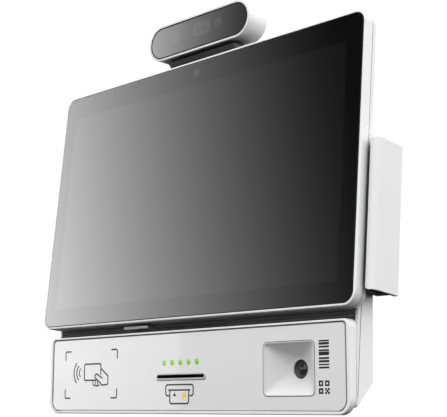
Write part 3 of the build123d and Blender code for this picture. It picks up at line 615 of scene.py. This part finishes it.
def scanner_optics():
    """Bezelled scan window with the receiving lens and its sunk centre."""
    bm = bmesh.new()
    centre = Vector(((window_lo.x + window_hi.x) / 2, window_lo.y, (window_lo.z + window_hi.z) / 2))
    bezel = [(8.6, 2.5), (8.6, 1.3), (7.35, 1.3), (7.35, 0.1), (7.05, -0.1), (6.6, 0.0), (6.0, 0.5)]
    seat = [(6.0, 0.5), (4.9, 1.0), (4.6, 1.0)]
    lens = [(4.6, 1.0), (4.4, 0.75), (3.6, 0.35), (2.2, 0.1), (0.9, 0.0), (0.0, 0.0)]
    for index, profile in enumerate((bezel, seat, lens)):
        revolve(bm, centre, profile, 56, index)
    merge(bm)
    piece("scanner_optics", bm, [MATERIALS["chip_black"], MATERIALS["charcoal_plastic"], scanner_glass],
          stands_for=["scanner_window"], smooth=True)


scanner_optics()


# ---- light pipes: domed lenses ------------------------------------------------------------------------
PIPES = 5
PIPE_R, PIPE_LENGTH, DOME = 2.25, 4.7, 0.62         # radius, length and height of the dome, mm


def light_domes():
    bm = bmesh.new()
    cz = (pipe_lo.z + pipe_hi.z) / 2
    pitch = (pipe_hi.x - pipe_lo.x - 2 * PIPE_R * MM) / (PIPES - 1)
    dome = [(PIPE_R * math.cos(math.radians(a)), DOME - DOME * math.sin(math.radians(a)))
            for a in range(12, 90, 13)]
    profile = [(0.0, PIPE_LENGTH), (PIPE_R, PIPE_LENGTH), (PIPE_R, DOME)] + dome + [(0.0, 0.0)]
    for i in range(PIPES):
        revolve(bm, Vector((pipe_lo.x + PIPE_R * MM + i * pitch, pipe_lo.y, cz)), profile, 32)
    merge(bm)
    piece("light_domes", bm, [MATERIALS["green_light"]], stands_for=["light_pipes"],
          smooth=True)


light_domes()


# ---- camera bar: smoked glass with a polished rim, and what shows through it --------------------------
def lens_glass(name, colour, rough):
    """Smoked glass a little lighter than the black round it."""
    mat, tree, shader = new_material(name)
    tree.links.new(blend_colour(tree, noise(tree, 300.0, 2.0), colour, tuple(c * 1.08 for c in colour)),
                   shader.inputs["Base Color"])
    tree.links.new(span(tree, noise(tree, 200.0), rough * 0.8, rough * 1.2), shader.inputs["Roughness"])
    put(shader, IOR=1.51)
    return mat


EYES = ((-28.0, 2.0, 5.0), (26.8, 2.0, 4.6))          # centre and radius of the two round windows, mm
PAIR = (-5.9, 16.9, -4.4, 9.2)                        # left, right, bottom and top of the middle window, mm
DOTS = ((1.1, 2.4, 3.4), (10.1, 2.4, 3.4))            # the two lenses in it
GLINTS = ((-27.0, 3.3, 0.75), (2.3, 3.9, 0.6), (11.3, 3.9, 0.5), (27.8, 3.3, 0.65))
WELL = 0.72                                           # radius of an eye's well in parts of its window's
CAMERA_GLASS_T, GLINT_OUT, GLINT_T = 2.1, 0.05, 0.06  # mm


def camera_face():
    """
    Stadium glass with a ground edge and lens windows a little lighter than the black. Material 0 is the
    black, 1 a lens window, 2 a lens well, 3 a glint, 4 the edge and back.
    """
    bm = bmesh.new()
    cx, cz = (camera_lo.x + camera_hi.x) / 2, (camera_lo.z + camera_hi.z) / 2
    hx, hz = (camera_hi.x - camera_lo.x) / 2 / MM, (camera_hi.z - camera_lo.z) / 2 / MM

    def at(x, y, z):
        return Vector((cx + x * MM, camera_lo.y + y * MM, cz + z * MM))

    def front(x, z):
        return at(x, 0.0, z)

    rim = [rounded(-hx + d, hx - d, -hz + d, hz - d, hz - d - 0.01, 20) for d in (0.0, EDGE, 1.2)]
    pair = rounded(*PAIR, 6.7, 12)
    holes = [circle(*eye, 32) for eye in EYES] + [pair]
    fill(bm, [rim[2]] + holes, front, 0)
    wells = [circle(x, z, r * WELL, 32) for x, z, r in EYES]
    for hole, well in zip(holes, wells):
        fill(bm, [hole, well], front, 1)
        fill(bm, [well], front, 2)
    dots = [circle(*dot, 28) for dot in DOTS]
    fill(bm, [pair] + dots, front, 1)
    for dot in dots:
        fill(bm, [dot], front, 2)
    for x, z, r in GLINTS:
        revolve(bm, at(x, -GLINT_OUT, z), [(0.0, 0.0), (r, 0.0), (r, GLINT_T)], 16, 3)
    for k, depth in enumerate((EDGE, 0.0)):
        wall(bm, [at(x, depth, z) for x, z in rim[k]], [front(x, z) for x, z in rim[k + 1]], 4)
    wall(bm, [at(x, EDGE, z) for x, z in rim[0]], [at(x, CAMERA_GLASS_T, z) for x, z in rim[0]], 4)
    fill(bm, [rim[0]], lambda x, z: at(x, CAMERA_GLASS_T, z), 4)
    merge(bm)
    window_glass = lens_glass("lens_window", (0.026, 0.026, 0.027), 0.035)
    well_glass = lens_glass("lens_well", (0.013, 0.013, 0.0135), 0.035)
    glint_glass = lens_glass("lens_glint", (0.10, 0.10, 0.105), 0.10)
    piece("camera_face", bm, [camera_black, window_glass, well_glass, glint_glass, MATERIALS["foam"]],
          body="camera_head", stands_for=["camera_glass"], smooth=True, crease=FLAT_CREASE)


camera_face()


# ---- black strips in the seams between the shells, painted shade in the gaps --------------------------
SHADOW_STRIP = 1.6                          # width of a shadow strip, mm


def seam(name, depths, place, x, z0, z1, r):
    """A flat ring in the plane of place, from -x to x and z0 to z1 outside, between two depths in mm."""
    bm = bmesh.new()
    outer = rounded(-x, x, z0, z1, r)
    inner = rounded(-x + SHADOW_STRIP, x - SHADOW_STRIP, z0 + SHADOW_STRIP, z1 - SHADOW_STRIP, max(0.5, r - SHADOW_STRIP))
    prism(bm, [outer, inner], place, *depths)
    merge(bm)
    piece(name, bm, [MATERIALS["foam"]])


seam("seam_seal_screen", (9.3, 9.95), on_screen, 189.35, -1.8, 234.7, 10.8)
seam("seam_seal_cover", (19.2, 19.62), on_screen, 181.1, -74.0, 226.1, 8.0)

# ---- camera, floor and light -----------------------------------------------------------------------
CAMERA_PLACE = (0.67348, -0.70572, -0.18535)        # m
CAMERA_RISE, CAMERA_HEADING = 10.38, 44.36          # degrees: looking up, and turned from +Y to the left
FLOOR_Z = -0.9
BACKDROP_R = 9.0

scene = bpy.context.scene
camera_data = bpy.data.cameras.new("camera")
camera = bpy.data.objects.new("camera", camera_data)
scene.collection.objects.link(camera)
scene.camera = camera
camera.location = CAMERA_PLACE
camera.rotation_euler = (math.radians(90 + CAMERA_RISE), 0, math.radians(CAMERA_HEADING))
camera_data.sensor_width = 36.0
camera_data.lens = 87.14
camera_data.clip_start = 0.01
scene.view_settings.view_transform = "Standard"


def floor():
    """A white floor well below the unit, hidden from diffuse and glossy rays so that it lights nothing."""
    bm = bmesh.new()
    bmesh.ops.create_grid(bm, x_segments=40, y_segments=40, size=6.0)
    mesh = bpy.data.meshes.new("floor")
    bm.to_mesh(mesh)
    bm.free()
    obj = bpy.data.objects.new("floor", mesh)
    obj.location = (0, 0, FLOOR_Z)
    scene.collection.objects.link(obj)
    mesh.materials.append(surface("floor_paint", grey(0.80), 0.6, 60.0, 0.0002, vary=0.02))
    obj.visible_diffuse = False
    obj.visible_glossy = False


floor()


def backdrop():
    """A round white wall seen only by the camera, so that the ground line never shows."""
    bm = bmesh.new()
    bmesh.ops.create_uvsphere(bm, u_segments=64, v_segments=32, radius=BACKDROP_R)
    mesh = bpy.data.meshes.new("backdrop")
    bm.to_mesh(mesh)
    bm.free()
    obj = bpy.data.objects.new("backdrop", mesh)
    scene.collection.objects.link(obj)
    mat, tree, shader = new_material("backdrop_white")
    put(shader, Emission_Strength=1.0)
    shader.inputs["Base Color"].default_value = (0, 0, 0, 1)
    white = blend_colour(tree, noise(tree, 0.2), grey(1.0), grey(1.02))
    tree.links.new(white, shader.inputs["Emission Color"])
    mesh.materials.append(mat)
    for ray in ("diffuse", "glossy", "shadow", "transmission"):
        setattr(obj, "visible_" + ray, False)


backdrop()


SKY_STRENGTH = 1.75
HORIZON = (0.485, (0.02, 0.02, 0.02, 1)), (0.55, (1, 1, 1, 1))      # where the sky turns from dark to white


def studio():
    """An even white sky over a dark ground."""
    world = bpy.data.worlds.new("studio")
    scene.world = world
    world.use_nodes = True
    tree = world.node_tree
    coords = tree.nodes.new("ShaderNodeTexCoord")
    split = tree.nodes.new("ShaderNodeSeparateXYZ")
    tree.links.new(coords.outputs["Generated"], split.inputs[0])
    ramp = tree.nodes.new("ShaderNodeValToRGB")
    tree.links.new(span(tree, split.outputs["Z"], 0.0, 1.0, start=-1.0, end=1.0), ramp.inputs["Fac"])
    for stop, (position, colour) in zip(ramp.color_ramp.elements, HORIZON):
        stop.position, stop.color = position, colour
    background = tree.nodes["Background"]
    tree.links.new(ramp.outputs["Color"], background.inputs["Color"])
    background.inputs["Strength"].default_value = SKY_STRENGTH


studio()


def area_light(name, place, aim, size, power):
    """A square lamp, size in metres and power in watts, that the camera and reflections do not see."""
    data = bpy.data.lights.new(name, "AREA")
    data.shape = "RECTANGLE"
    data.size = size
    data.size_y = size
    data.energy = power
    obj = bpy.data.objects.new(name, data)
    obj.location = place
    obj.rotation_euler = (Vector(aim) - Vector(place)).to_track_quat("-Z", "Y").to_euler()
    scene.collection.objects.link(obj)
    obj.visible_camera = False
    obj.visible_glossy = False


area_light("key", place=(2.3, -0.7, 1.3), aim=(0, 0, 0), size=1.6, power=7.0)

# Reflection cards stand about 3 m away where the glass mirrors the camera's line of sight, each at its own
# distance, so that no two lie in one plane.
CARD_AWAY = Vector((-0.6997, -0.6176, 0.3327)).normalized()
CARD_RIGHT = CARD_AWAY.cross(Vector((0, 0, 1))).normalized()
CARD_UP = CARD_RIGHT.cross(CARD_AWAY)


def card(name, away, across, height, along=None, reach=None, glow=0.0, least=0.0, receivers=()):
    """
    A panel seen only in reflections, from across[0] to across[1] and height[0] to height[1] in metres. It is
    black, or see-through and lit: its glow grows with the square of the distance along a direction, from
    least at reach[0] up to glow at reach[1]. Only the receivers mirror it, or everything when there are none.
    """
    (u0, u1), (v0, v1) = across, height
    mesh = bpy.data.meshes.new(name)
    bm = bmesh.new()
    bm.faces.new([bm.verts.new(p) for p in ((u0, v0, 0), (u1, v0, 0), (u1, v1, 0), (u0, v1, 0))])
    bm.to_mesh(mesh)
    bm.free()
    obj = bpy.data.objects.new(name, mesh)
    turn = Matrix((CARD_RIGHT, CARD_UP, -CARD_AWAY)).transposed().to_4x4()
    obj.matrix_world = Matrix.Translation(CARD_AWAY * away) @ turn
    scene.collection.objects.link(obj)
    mat = bpy.data.materials.new(name)
    mat.use_nodes = True
    tree = mat.node_tree
    tree.nodes.clear()
    out = tree.nodes.new("ShaderNodeOutputMaterial")
    light = tree.nodes.new("ShaderNodeEmission")
    light.inputs["Strength"].default_value = 0.0
    surface_out = light.outputs[0]
    if along:
        coords = tree.nodes.new("ShaderNodeTexCoord")
        dot = tree.nodes.new("ShaderNodeVectorMath")
        dot.operation = "DOT_PRODUCT"
        dot.inputs[1].default_value = (*along, 0.0)
        tree.links.new(coords.outputs["Object"], dot.inputs[0])
        power = tree.nodes.new("ShaderNodeMath")
        power.operation = "POWER"
        tree.links.new(span(tree, dot.outputs["Value"], 0.0, 1.0, *reach), power.inputs[0])
        power.inputs[1].default_value = 2.0
        strength = span(tree, power.outputs[0], least, glow, start=0.0, end=1.0)
        tree.links.new(strength, light.inputs["Strength"])
        both = tree.nodes.new("ShaderNodeAddShader")
        clear = tree.nodes.new("ShaderNodeBsdfTransparent")
        tree.links.new(light.outputs[0], both.inputs[0])
        tree.links.new(clear.outputs[0], both.inputs[1])
        surface_out = both.outputs[0]
    tree.links.new(surface_out, out.inputs["Surface"])
    mesh.materials.append(mat)
    obj.visible_camera = False
    obj.visible_diffuse = False
    obj.visible_shadow = False
    obj.visible_transmission = False
    if receivers:
        group = bpy.data.collections.new(f"{name}_lit")
        for item in receivers:
            group.objects.link(bpy.data.objects[item])
        obj.light_linking.receiver_collection = group


card("card_screen", 3.0, (-1.0, 1.0), (-0.8, 0.9), along=(1.0, -0.4), reach=(-0.79, 0.6),
     glow=8.8, least=0.07, receivers=["touch_glass_panel"])
card("card_camera", 2.9, (-0.6, 0.3), (-0.2, 0.5), along=(1.0, 0.0), reach=(-0.43, 0.0),
     glow=7.0, least=0.35, receivers=["camera_face"])
card("card_panel", 2.8, (-0.15, 0.8), (-1.6, -0.75), along=(1.0, 0.0), reach=(-1.5, 0.3),
     glow=2.4, least=0.0, receivers=["module_panel"])
card("card_black", 3.3, (-1.4, 1.4), (-0.82, 1.2))
